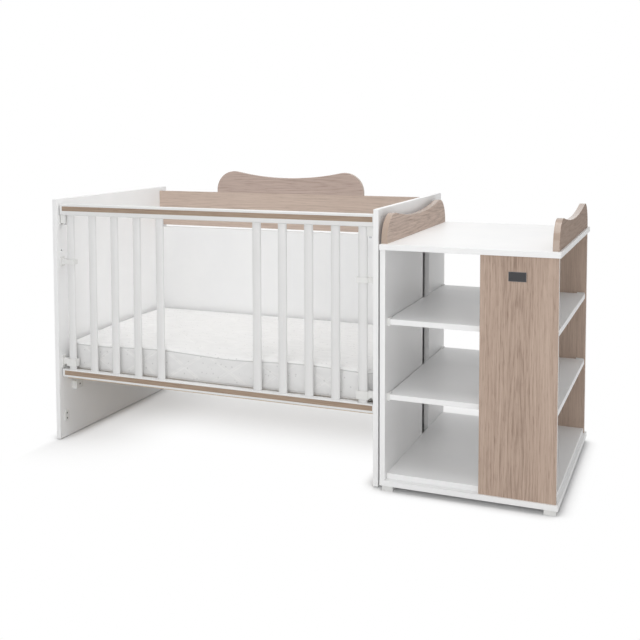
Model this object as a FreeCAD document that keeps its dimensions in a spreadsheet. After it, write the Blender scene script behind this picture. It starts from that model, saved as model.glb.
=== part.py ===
import FreeCAD, Part
import math
import os
import re

import Sketcher

# A convertible cot with a drop side, a mattress and an attached changing unit, in millimetres.
# X runs along the cot to the changing unit, Y from the front to the back, Z up from the floor.

doc = FreeCAD.newDocument("ConvertibleCot")
Vector = FreeCAD.Vector

# Driving dimensions: name, value and what it measures
sizes = [
    ("board", 16, "thickness of the boards"),
    ("board_edge", 0.8, "rounding of the boards' edges"),
    ("inner_length", 1120, "between the end panels"),
    ("crib_depth", 740, "depth of the end panels"),
    ("back_inset", 36, "end panels' back to the back boards"),
    ("crib_height", 828, "floor to the end panels' top"),
    ("glide_height", 3, "glides under the end panels"),
    ("glide_width", 12, "glides"),
    ("glide_inset", 40, "end panels' front and back to their glides"),
    ("glide_pin_width", 4, "pin of a glide"),
    ("glide_pin_length", 12, "pin of a glide in its panel"),
    ("spare_hole_width", 6, "spare bolt hole in each end panel, for fixing the front side"),
    ("spare_hole_front", 34, "end panels' front to the spare hole"),
    ("spare_hole_drop", 24, "end panels' top to the spare hole"),
    ("back_board_height", 135, "brown board at the back"),
    ("back_board_drop", 14, "from the panels' top down to the back board"),
    ("back_gap", 8, "open gap under the back board"),
    ("back_panel_floor", 190, "floor to the white back panel"),
    ("crest_length", 598, "crest board"),
    ("crest_height", 83, "crest above the back board"),
    ("crest_dip", 59.5, "crest at the middle of its wave"),
    ("crest_shoulder", 73, "radius of the crest's humps"),
    ("rail_recess", 14, "end panels' front to the drop side's rails"),
    ("rail_depth", 24, "rails from front to back"),
    ("rail_round", 4, "rounding of the rails' long edges"),
    ("rail_end_gap", 4, "rail end to end panel"),
    ("top_rail_height", 38, "top rail"),
    ("top_rail_drop", 16, "from the panels' top down to the top rail"),
    ("bottom_rail_height", 28, "bottom rail"),
    ("bottom_rail_floor", 217, "floor to the bottom rail"),
    ("strip_height", 15.5, "brown strip in a rail"),
    ("top_strip_drop", 8, "top rail's top to its strip"),
    ("bottom_strip_drop", 4.5, "bottom rail's top to its strip"),
    ("strip_depth", 2, "how deep a strip is let in"),
    ("strip_left_end", 8.5, "rail's left end to its strip"),
    ("strip_right_end", 3, "rail's right end to its strip"),
    ("slat_width", 29, "oval bar, along the cot"),
    ("slat_depth", 14, "oval bar, front to back"),
    ("slat_places", 13, "evenly spaced places for bars"),
    ("first_slat_reach", 25, "end panel to the first bar"),
    ("tenon_length", 10, "bar let into each rail"),
    ("tenon_gap", 0.1, "play of a bar in its mortise"),
    ("guide_gap", 0.4, "play of a bar in its guide"),
    ("guide_wall", 3.2, "wall of a guide sleeve"),
    ("guide_plate", 4, "foot of a guide against the panel"),
    ("guide_arm", 12, "arm of a guide, front to back"),
    ("middle_guide_gap", 9, "middle guide to the catch housing when the side is down"),
    ("middle_guide_height", 34, "middle guide's foot"),
    ("middle_sleeve_height", 16, "middle guide's sleeve"),
    ("guide_notch", 12, "round notch under a low guide's arm"),
    ("guide_flare", 9, "round flare of a middle guide's arm at its foot"),
    ("guide_peg_width", 6, "pegs behind a guide's foot"),
    ("guide_peg_length", 9, "guide's peg in its panel"),
    ("low_guide_floor", 248, "floor to the low guide's foot"),
    ("low_guide_height", 42, "low guide's foot"),
    ("low_sleeve_height", 25, "low guide's sleeve"),
    ("drop_travel", 105, "how far the front side drops"),
    ("catch_height", 28, "catch housing under the top rail"),
    ("catch_gap", 1, "catch housing to rail end and bar"),
    ("catch_depth", 20, "catch housing, front to back"),
    ("bolt_drop", 17, "top rail's underside down to the slide bolt"),
    ("bolt_width", 8, "slide bolt"),
    ("bolt_play", 0.3, "play round the slide bolt"),
    ("bolt_throw", 8, "travel of the slide bolt"),
    ("bolt_tip_gap", 0.5, "slide bolt's tip to the strike plate"),
    ("bolt_back_gap", 2, "slide bolt's back end to the housing's end"),
    ("tab_width", 6, "finger tab of the slide bolt, along the bolt"),
    ("tab_depth", 6, "finger tab, front to back"),
    ("tab_reach", 6, "finger tab, out of the housing's underside"),
    ("strike_depth", 3, "strike plate"),
    ("strike_width", 22, "strike plate, front to back"),
    ("strike_height", 34, "strike plate"),
    ("strike_hole_depth", 10, "strike plate's face to the bottom of the bolt's holes"),
    ("plate_depth", 4, "conversion plate"),
    ("plate_width", 24, "conversion plate, front to back"),
    ("plate_height", 38, "conversion plate"),
    ("plate_front", 23, "end panels' front to the conversion plate"),
    ("plate_floor", 58, "floor to the conversion plate"),
    ("plate_screw_inset", 10, "plate ends to their screws"),
    ("base_floor", 206, "floor to the mattress base"),
    ("base_front", 46, "end panels' front to the base and the mattress"),
    ("base_back_gap", 8, "base and mattress to the back panel"),
    ("base_end_gap", 3, "base to the end panels"),
    ("base_rail_width", 30, "base rail across"),
    ("base_rail_height", 20, "base rail up"),
    ("base_slat_width", 60, "base slat"),
    ("base_slat_height", 10, "base slat's thickness"),
    ("base_slat_inset", 24, "base ends to the first slats"),
    ("base_slat_count", 9, "number of base slats"),
    ("bracket_depth", 19, "base bracket out from the panel"),
    ("bracket_width", 38, "base bracket, front to back"),
    ("bracket_height", 28, "base bracket's block"),
    ("bracket_neck", 16, "narrower top of a base bracket"),
    ("bracket_step", 8, "bracket's block beyond its neck"),
    ("bracket_inset", 27, "base's front and back to the brackets"),
    ("mattress_end_gap", 10, "mattress to the end panels"),
    ("mattress_height", 105, "mattress at its front edge"),
    ("mattress_rise", 8, "mattress's rear edge over its front edge"),
    ("mattress_crown", 6, "rise of the top at the middle"),
    ("mattress_bulge", 3, "swell of the long sides"),
    ("mattress_round", 7, "rounding of the mattress's edges"),
    ("mattress_lift", 0.3, "mattress over the base slats"),
    ("unit_gap", 10, "end panel to the changing unit"),
    ("unit_width", 508, "changing unit"),
    ("unit_depth", 712, "changing unit's base board"),
    ("unit_height", 729, "floor to the changing top"),
    ("unit_step", 19, "unit's base in front of the end panels"),
    ("top_overhang", 6, "changing top beyond the base, front and back"),
    ("foot_height", 16, "unit's feet"),
    ("foot_width", 33, "unit's square feet"),
    ("foot_inset", 6, "base's edges to the feet"),
    ("left_recess", 2, "base's edges to the left boards"),
    ("left_front_width", 416, "front one of the left boards"),
    ("left_gap", 81, "between the left boards"),
    ("brown_width", 213, "brown front and rear boards"),
    ("brown_inset", 6, "base's right edge to the brown boards"),
    ("brown_recess", 6, "base's front and back to the brown boards"),
    ("shelf_inset", 9, "base's right edge to the shelves"),
    ("middle_shelf_top", 284, "floor to the middle shelf's top"),
    ("upper_shelf_top", 507, "floor to the upper shelf's top"),
    ("clip_plate", 2, "shelf clip's wall behind and beside the shelf"),
    ("clip_lip", 3, "shelf clip's lips over and under the shelf"),
    ("clip_reach", 9, "shelf clip out from its board"),
    ("clip_width", 24, "shelf clip along its board"),
    ("guard_thickness", 18, "guards on the changing top"),
    ("guard_height", 84, "guards on the changing top"),
    ("guard_dip", 61, "guard at the middle of its wave"),
    ("guard_shoulder", 78, "radius of a guard's humps"),
    ("guard_front", 21, "top's front to the guards"),
    ("guard_back", 8, "top's back to the guards"),
    ("guard_left", 0, "top's left edge to the left guard"),
    ("guard_right", 7, "top's right edge to the right guard"),
    ("badge_width", 49, "bare badge plate"),
    ("badge_height", 27, "bare badge plate"),
    ("badge_depth", 1.2, "bare badge plate"),
    ("badge_floor", 642, "floor to the badge"),
    ("badge_inset", 78, "brown board's left edge to the badge"),
    ("badge_round", 0.4, "rounding of the badge's edges"),
    ("dowel_width", 8, "dowels"),
    ("dowel_length", 30, "dowels"),
    ("dowel_seat", 7, "dowel in a board's face"),
    ("dowel_inset", 40, "board ends to their dowels"),
    ("fastener_gap", 0.15, "play round dowels, bolts and screws"),
    ("panel_bolt_width", 6, "panel bolts' shank"),
    ("panel_bolt_length", 62, "panel bolts with their heads"),
    ("bolt_head_width", 12, "panel bolts' head"),
    ("bolt_head_depth", 4, "panel bolts' head, flush with the panel"),
    ("socket_width", 5, "six-sided socket in a bolt's head, over its corners"),
    ("socket_depth", 2.5, "socket in a bolt's head"),
    ("panel_bolt_inset", 34, "back boards' edges to their bolts"),
    ("barrel_width", 10, "barrel nuts"),
    ("barrel_length", 13, "barrel nuts"),
    ("barrel_reach", 34, "board's end to its barrel nuts"),
    ("screw_width", 3.6, "fitting screws' shank"),
    ("screw_head_width", 6.4, "fitting screws' head"),
    ("screw_head_depth", 2, "fitting screws' head, flush with its plate"),
    ("screw_grip", 10, "fitting screw in the panel"),
    ("cross_length", 4, "cross slot in a screw's head"),
    ("cross_width", 1, "cross slot in a screw's head"),
    ("cross_depth", 1.2, "cross slot in a screw's head"),
    ("join_pin_width", 8, "pins between the cot and the unit"),
    ("join_pin_seat", 9, "pin in each board"),
    ("join_spacer_width", 20, "spacers on those pins"),
    ("join_pin_low", 160, "floor to the lower pins"),
    ("join_pin_high", 620, "floor to the upper pins"),
]

# Places worked out from the sizes, in the cot's own corner frame:
# from the left panel's outer face, the end panels' front and the floor
places = [
    ("crib_length", "inner_length + 2 * board"),
    ("right_inner", "inner_length + board"),
    ("unit_x", "crib_length + unit_gap"),
    ("unit_y", "0 - unit_step"),
    ("origin_x", "(unit_x + unit_width) / 2"),
    ("origin_y", "(crib_depth - unit_step - top_overhang) / 2"),
    ("back_y", "crib_depth - back_inset - board"),
    ("back_face", "back_y + board"),
    ("back_board_z", "crib_height - back_board_drop - back_board_height"),
    ("back_board_top", "back_board_z + back_board_height"),
    ("back_panel_height", "back_board_z - back_gap - back_panel_floor"),
    ("crest_x", "(crib_length - crest_length) / 2"),
    ("rail_x", "board + rail_end_gap"),
    ("rail_length", "inner_length - 2 * rail_end_gap"),
    ("top_rail_z", "crib_height - top_rail_drop - top_rail_height"),
    ("bottom_rail_top", "bottom_rail_floor + bottom_rail_height"),
    ("slat_y", "rail_recess + (rail_depth - slat_depth) / 2"),
    ("slat_z", "bottom_rail_top - tenon_length"),
    ("mortise_depth", "tenon_length + rail_round"),
    ("slat_length", "top_rail_z - bottom_rail_top + 2 * tenon_length"),
    ("slat_pitch", "(inner_length - 2 * first_slat_reach - slat_width) / (slat_places - 1)"),
    ("slat_middle", "rail_recess + rail_depth / 2"),
    ("catch_z", "top_rail_z - catch_height"),
    ("middle_guide_floor", "catch_z - drop_travel - middle_guide_gap - middle_guide_height"),
    ("bolt_z", "top_rail_z - bolt_drop"),
    ("bolt_start", "strike_depth + bolt_tip_gap"),
    ("catch_reach", "first_slat_reach - rail_end_gap - 2 * catch_gap"),
    ("bolt_length", "rail_end_gap + catch_gap + catch_reach - bolt_back_gap - bolt_start"),
    ("tab_start", "rail_end_gap + catch_gap + catch_reach - 2 * bolt_back_gap - tab_width"),
    ("strike_z", "bolt_z - strike_height / 2"),
    ("base_depth", "back_y - base_back_gap - base_front"),
    ("base_x", "board + base_end_gap"),
    ("base_length", "inner_length - 2 * base_end_gap"),
    ("base_slat_z", "base_floor + base_rail_height"),
    ("mattress_x", "board + mattress_end_gap"),
    ("mattress_length", "inner_length - 2 * mattress_end_gap"),
    ("mattress_z", "base_slat_z + base_slat_height + mattress_lift"),
    ("unit_inner", "unit_x + board"),
    ("base_top", "foot_height + board"),
    ("top_z", "unit_height - board"),
    ("unit_inner_height", "top_z - base_top"),
    ("left_y", "unit_y + left_recess"),
    ("left_rear_y", "left_y + left_front_width + left_gap"),
    ("left_rear_width", "unit_depth - 2 * left_recess - left_front_width - left_gap"),
    ("brown_x", "unit_x + unit_width - brown_inset - brown_width"),
    ("brown_front_y", "unit_y + brown_recess"),
    ("brown_rear_y", "unit_y + unit_depth - brown_recess - board"),
    ("bay_y", "brown_front_y + board"),
    ("bay_depth", "brown_rear_y - bay_y"),
    ("shelf_right", "unit_x + unit_width - shelf_inset"),
    ("shelf_x", "unit_inner + clip_plate"),
    ("shelf_y", "bay_y + clip_plate"),
    ("shelf_depth", "bay_depth - 2 * clip_plate"),
    ("top_depth", "unit_depth + 2 * top_overhang"),
    ("guard_length", "top_depth - guard_front - guard_back"),
    ("guard_y", "unit_y - top_overhang + guard_front"),
]

sheet_of = {}


def full(text):
    # Names the sheet that each size or place in an expression is kept in
    return re.sub(r"[a-z_]+", lambda word: sheet_of[word.group()] + "." + word.group(), text)


def fill_sheet(name, rows, is_formula):
    sheet = doc.addObject("Spreadsheet::Sheet", name)
    for index, row in enumerate(rows, start=1):
        content = "=" + full(row[1]) if is_formula else str(row[1])
        sheet.set(f"A{index}", row[0])
        sheet.set(f"B{index}", content)
        sheet.setAlias(f"B{index}", row[0])
        if len(row) > 2:
            sheet.set(f"C{index}", row[2])
        sheet_of[row[0]] = name
    doc.recompute()
    return sheet


sizes_sheet = fill_sheet("Sizes", sizes, False)
places_sheet = fill_sheet("Places", places, True)


def value(name):
    sheet = sizes_sheet if sheet_of[name] == "Sizes" else places_sheet
    return float(sheet.get(name))


blanks = {}
cutters = {}
groups = {}
group_of = {}


def bind(thing, expressions):
    for name, expression in expressions.items():
        thing.setExpression(name, full(expression))


def place(thing, x, y, z):
    bind(thing, {
        "Placement.Base.x": f"{x} - origin_x",
        "Placement.Base.y": f"{y} - origin_y",
        "Placement.Base.z": z,
    })


def box(name, x, y, z):
    # A plain block: each of x, y and z is a start and a length
    block = doc.addObject("Part::Box", name)
    bind(block, {"Length": x[1], "Width": y[1], "Height": z[1]})
    place(block, x[0], y[0], z[0])
    return block


turns = {
    "x": FreeCAD.Rotation(Vector(0, 1, 0), 90),
    "y": FreeCAD.Rotation(Vector(1, 0, 0), -90),
    "z": FreeCAD.Rotation(),
}


def rod(name, axis, start, width, length):
    # A round bar from its start point along an axis
    bar = doc.addObject("Part::Cylinder", name)
    bar.Placement = FreeCAD.Placement(Vector(), turns[axis])
    bind(bar, {"Radius": f"({width}) / 2", "Height": length})
    place(bar, *start)
    return bar


def oval(name, x, y, z, width, depth, length):
    # An upright bar of oval section, from the middle of its foot
    ring = doc.addObject("Part::Ellipse", name + "_ring")
    bind(ring, {"MajorRadius": f"({width}) / 2", "MinorRadius": f"({depth}) / 2"})
    place(ring, x, y, z)
    bar = doc.addObject("Part::Extrusion", name)
    bar.Base = ring
    bar.DirMode = "Custom"
    bar.Dir = Vector(0, 0, 1)
    bar.Solid = True
    bind(bar, {"LengthFwd": length})
    return bar


def fused(name, members):
    whole = doc.addObject("Part::MultiFuse", name)
    whole.Shapes = members
    return whole


def less(name, whole, waste):
    remainder = doc.addObject("Part::Cut", name)
    remainder.Base = whole
    remainder.Tool = waste
    return remainder


def keep(label, thing, group=None):
    # Records a blank, which its own cutters are taken out of later, and the group that it joins
    thing.Label = label + "_blank"
    blanks[label] = thing
    cutters.setdefault(label, [])
    if group:
        group_of[label] = group
        groups.setdefault(group, [])


def cut_from(label, cutter):
    cutters.setdefault(label, []).append(cutter)


def join_group(label, member):
    groups.setdefault(label, []).append(member)


def edges_along(shape, axis):
    # Names of the straight edges that run along an axis
    names = []
    for index, edge in enumerate(shape.Edges, start=1):
        run = edge.Vertexes[-1].Point - edge.Vertexes[0].Point
        if run.cross(axis).Length < Part.Precision.confusion() * run.Length:
            names.append(f"Edge{index}")
    return names


def board(label, x, y, z, rounding="board_edge", along=None, group=None):
    # A board with rounded edges: all of them, or those along one axis
    body = doc.addObject("PartDesign::Body", label)
    block = body.newObject("PartDesign::AdditiveBox", label + "_block")
    bind(block, {"Length": x[1], "Width": y[1], "Height": z[1]})
    soft = body.newObject("PartDesign::Fillet", label + "_edges")
    if along is None:
        soft.Base = (block, [""])
        soft.UseAllEdges = True
    else:
        doc.recompute()
        soft.Base = (block, edges_along(block.Shape, along))
    bind(soft, {"Radius": rounding})
    place(body, x[0], y[0], z[0])
    keep(label, body, group)


def inward(side, offset, depth):
    # Start and length, along X, of what spans a depth from an end panel's inner face
    if side == "left":
        return (f"board + ({offset})", depth)
    return (f"right_inner - ({offset}) - ({depth})", depth)


def wave_board(label, length, height, dip, shoulder, thickness):
    # A board with a straight foot and two humps; its face lies in XZ and its middle at Y = 0
    long, tall, low, hump = (value(name) for name in (length, height, dip, shoulder))
    reach = long / 2 - hump
    rise = low - (tall - hump)
    sweep = (reach ** 2 + rise ** 2 - hump ** 2) / (2 * (hump - rise))
    left = Vector(hump, tall - hump, 0)
    right = Vector(long - hump, tall - hump, 0)
    bowl = Vector(long / 2, low + sweep, 0)
    lean = math.atan2(bowl.y - left.y, bowl.x - left.x)
    flat = Vector(0, 0, 1)
    body = doc.addObject("PartDesign::Body", label)
    plane = [part for part in body.Origin.OriginFeatures if part.Role == "XZ_Plane"][0]
    outline = body.newObject("Sketcher::SketchObject", label + "_outline")
    outline.AttachmentSupport = [(plane, "")]
    outline.MapMode = "FlatFace"
    foot, far_end, far_hump, dish, near_hump, near_end = outline.addGeometry([
        Part.LineSegment(Vector(0, 0, 0), Vector(long, 0, 0)),
        Part.LineSegment(Vector(long, 0, 0), Vector(long, right.y, 0)),
        Part.ArcOfCircle(Part.Circle(right, flat, hump), 0, math.pi - lean),
        Part.ArcOfCircle(Part.Circle(bowl, flat, sweep), math.pi + lean, 2 * math.pi - lean),
        Part.ArcOfCircle(Part.Circle(left, flat, hump), lean, math.pi),
        Part.LineSegment(Vector(0, left.y, 0), Vector(0, 0, 0)),
    ])
    rule = Sketcher.Constraint
    start, end = 1, 2
    outline.addConstraint([
        rule("Coincident", foot, start, -1, 1),
        rule("Coincident", foot, end, far_end, start),
        rule("Coincident", near_end, end, foot, start),
        rule("Horizontal", foot),
        rule("Vertical", far_end),
        rule("Vertical", near_end),
        rule("Tangent", far_end, end, far_hump, start),
        rule("Tangent", far_hump, end, dish, end),
        rule("Tangent", dish, start, near_hump, start),
        rule("Tangent", near_hump, end, near_end, start),
    ])
    sized = {
        "Length": (rule("DistanceX", foot, start, foot, end, long), length),
        "Shoulder": (rule("Radius", far_hump, hump), shoulder),
        "NearShoulder": (rule("Radius", near_hump, hump), shoulder),
        "Side": (rule("DistanceY", far_end, start, far_end, end, tall - hump), f"{height} - {shoulder}"),
    }
    for name, (constraint, expression) in sized.items():
        index = outline.addConstraint(constraint)
        outline.renameConstraint(index, name)
        outline.setExpression("Constraints." + name, full(expression))
    bowl_index = outline.addConstraint(rule("Radius", dish, sweep))
    outline.renameConstraint(bowl_index, "Bowl")
    half = f"({length} / 2 - {shoulder})"
    drop = f"({dip} - {height} + {shoulder})"
    outline.setExpression("Constraints.Bowl", full(
        f"({half} * {half} + {drop} * {drop} - {shoulder} * {shoulder}) / (2 * ({shoulder} - {drop}))"))
    slab = body.newObject("PartDesign::Pad", label + "_slab")
    slab.Profile = outline
    slab.SideType = "Symmetric"
    bind(slab, {"Length": thickness})
    doc.recompute()
    soft = body.newObject("PartDesign::Fillet", label + "_edges")
    foot_names = edges_along(slab.Shape, Vector(1, 0, 0)) + edges_along(slab.Shape, Vector(0, 1, 0))
    rims = [f"Edge{i}" for i in range(1, len(slab.Shape.Edges) + 1) if f"Edge{i}" not in foot_names]
    soft.Base = (slab, rims)
    bind(soft, {"Radius": "board_edge"})
    keep(label, body)
    return body


def dowel(label, start, lower, upper):
    # An upright dowel in the blind holes of the boards below and above it
    name = f"{label}_{len(groups.get(label, []))}"
    join_group(label, rod(name, "z", start, "dowel_width", "dowel_length"))
    x, y, z = start
    seat = (x, y, f"{z} - fastener_gap")
    hole = rod(name + "_hole", "z", seat, "dowel_width + 2 * fastener_gap", "dowel_length + 2 * fastener_gap")
    cut_from(lower, hole)
    cut_from(upper, hole)


def screw(side, y, z, fitting, depth, panel):
    # A flush screw through a fitting of some depth into an end panel
    name = f"fitting_screw_{len(groups.get('fitting_screws', []))}"
    head = inward(side, f"{depth} - screw_head_depth", "screw_head_depth")
    shank = inward(side, "0 - screw_grip", f"screw_grip + {depth}")
    slot = inward(side, f"{depth} - cross_depth", "cross_depth")
    long_y = (f"{y} - cross_length / 2", "cross_length")
    long_z = (f"{z} - cross_length / 2", "cross_length")
    short_y = (f"{y} - cross_width / 2", "cross_width")
    short_z = (f"{z} - cross_width / 2", "cross_width")
    plain = fused(name + "_plain", [
        rod(name + "_head", "x", (head[0], y, z), "screw_head_width", head[1]),
        rod(name + "_shank", "x", (shank[0], y, z), "screw_width", shank[1]),
    ])
    cross = fused(name + "_cross", [
        box(name + "_slot_y", slot, long_y, short_z),
        box(name + "_slot_z", slot, short_y, long_z),
    ])
    join_group("fitting_screws", less(name, plain, cross))
    deep = inward(side, "0 - screw_grip - fastener_gap", f"screw_grip + {depth} + fastener_gap")
    seat = inward(side, f"{depth} - screw_head_depth - fastener_gap", "screw_head_depth + fastener_gap")
    hole = fused(name + "_hole", [
        rod(name + "_seat", "x", (seat[0], y, z), "screw_head_width + 2 * fastener_gap", seat[1]),
        rod(name + "_bore", "x", (deep[0], y, z), "screw_width + 2 * fastener_gap", deep[1]),
    ])
    cut_from(fitting, hole)
    cut_from(panel, hole)


# End panels and back
for side, panel_x in (("left", "0"), ("right", "right_inner")):
    panel = f"{side}_end_panel"
    board(panel, (panel_x, "board"), ("0", "crib_depth"), ("glide_height", "crib_height - glide_height"))
    spare_start = (panel_x, "spare_hole_front", "crib_height - spare_hole_drop")
    cut_from(panel, rod(f"{side}_spare_hole", "x", spare_start, "spare_hole_width", "board"))
    for end, glide_y in (("front", "glide_inset"), ("rear", "crib_depth - glide_inset")):
        name = f"{side}_{end}_glide"
        middle = (f"{panel_x} + board / 2", glide_y)
        join_group("panel_glides", fused(name, [
            rod(name + "_disc", "z", (*middle, "0"), "glide_width", "glide_height"),
            rod(name + "_pin", "z", (*middle, "0"), "glide_pin_width", "glide_height + glide_pin_length"),
        ]))
        cut_from(panel, rod(name + "_hole", "z", (*middle, "0"), "glide_pin_width + 2 * fastener_gap",
                            "glide_height + glide_pin_length + fastener_gap"))

board("back_panel", ("board", "inner_length"), ("back_y", "board"),
      ("back_panel_floor", "back_panel_height"))
board("back_top_board", ("board", "inner_length"), ("back_y", "board"),
      ("back_board_z", "back_board_height"))
crest = wave_board("crest_board", "crest_length", "crest_height", "crest_dip", "crest_shoulder", "board")
place(crest, "crest_x", "back_y + board / 2", "back_board_top")
for share in ("1 / 6", "1 / 2", "5 / 6"):
    dowel("crest_dowels", (f"crest_x + crest_length * {share}", "back_y + board / 2",
                           "back_board_top - dowel_length / 2"), "back_top_board", "crest_board")


def panel_bolt(side, board_label, z):
    # A flush bolt through an end panel, caught by a barrel nut in the end of a back board
    name = f"panel_bolt_{len(groups.get('panel_bolts', []))}"
    y = "back_y + board / 2"
    left = side == "left"
    start = "0" if left else "crib_length - panel_bolt_length"
    head_start = "0" if left else "crib_length - bolt_head_depth"
    seat_start = "0" if left else "crib_length - bolt_head_depth - fastener_gap"
    bore_start = "0" if left else "crib_length - panel_bolt_length - fastener_gap"
    plain = fused(name + "_plain", [
        rod(name + "_head", "x", (head_start, y, z), "bolt_head_width", "bolt_head_depth"),
        rod(name + "_shank", "x", (start, y, z), "panel_bolt_width", "panel_bolt_length"),
    ])
    socket_start = "0" if left else "crib_length - socket_depth"
    socket = doc.addObject("Part::Prism", name + "_socket")
    socket.Polygon = 6
    socket.Placement = FreeCAD.Placement(Vector(), turns["x"])
    bind(socket, {"Circumradius": "socket_width / 2", "Height": "socket_depth"})
    place(socket, socket_start, y, z)
    join_group("panel_bolts", less(name, plain, socket))
    bore = rod(name + "_bore", "x", (bore_start, y, z), "panel_bolt_width + 2 * fastener_gap",
               "panel_bolt_length + fastener_gap")
    seat = rod(name + "_seat", "x", (seat_start, y, z), "bolt_head_width + 2 * fastener_gap",
               "bolt_head_depth + fastener_gap")
    hole = fused(name + "_hole", [bore, seat])
    cut_from(f"{side}_end_panel", hole)
    nut_x = "board + barrel_reach" if left else "right_inner - barrel_reach"
    nut_name = name + "_nut"
    nut = rod(nut_name + "_blank", "y", (nut_x, "back_face - barrel_length", z), "barrel_width",
              "barrel_length")
    join_group("barrel_nuts", less(nut_name, nut, bore))
    nut_hole = rod(nut_name + "_hole", "y", (nut_x, "back_face - barrel_length - fastener_gap", z),
                   "barrel_width + 2 * fastener_gap", "barrel_length + fastener_gap + board_edge")
    cut_from(board_label, fused(nut_name + "_seat", [bore, nut_hole]))


for side in ("left", "right"):
    panel_bolt(side, "back_top_board", "back_board_z + panel_bolt_inset")
    panel_bolt(side, "back_top_board", "back_board_top - panel_bolt_inset")
    panel_bolt(side, "back_panel", "back_panel_floor + panel_bolt_inset")
    panel_bolt(side, "back_panel", "back_panel_floor + back_panel_height / 2")
    panel_bolt(side, "back_panel", "back_panel_floor + back_panel_height - panel_bolt_inset")

# Drop side: two rails with strips let into their fronts, and the bars between them
rails = {
    "top": ("top_rail_z", "top_rail_height", "top_strip_drop"),
    "bottom": ("bottom_rail_floor", "bottom_rail_height", "bottom_strip_drop"),
}
for name, (rail_z, rail_height, strip_drop) in rails.items():
    board(f"{name}_rail", ("rail_x", "rail_length"), ("rail_recess", "rail_depth"), (rail_z, rail_height),
          "rail_round", Vector(1, 0, 0))
    strip_x = ("rail_x + strip_left_end", "rail_length - strip_left_end - strip_right_end")
    strip_z = (f"{rail_z} + {rail_height} - {strip_drop} - strip_height", "strip_height")
    keep(f"{name}_rail_strip", box(f"{name}_rail_strip", strip_x, ("rail_recess", "strip_depth"), strip_z))
    cut_from(f"{name}_rail", box(f"{name}_rail_groove", strip_x, ("rail_recess", "strip_depth"), strip_z))

slat_places = int(value("slat_places"))
middle_place = slat_places // 2 + 1
open_places = (middle_place - 1, middle_place, middle_place + 1)  # left out for a child to climb through
for index in range(slat_places):
    number = index + 1
    if number in open_places:
        continue
    middle = (f"board + first_slat_reach + slat_width / 2 + {index} * slat_pitch", "slat_middle")
    bar = f"slat_{number}"
    keep(bar, oval(bar, *middle, "slat_z", "slat_width", "slat_depth", "slat_length"))
    snug = ("slat_width + 2 * tenon_gap", "slat_depth + 2 * tenon_gap", "mortise_depth")
    cut_from("bottom_rail", oval(f"low_mortise_{number}", *middle, "slat_z", *snug))
    cut_from("top_rail", oval(f"high_mortise_{number}", *middle, "top_rail_z - rail_round", *snug))

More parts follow.
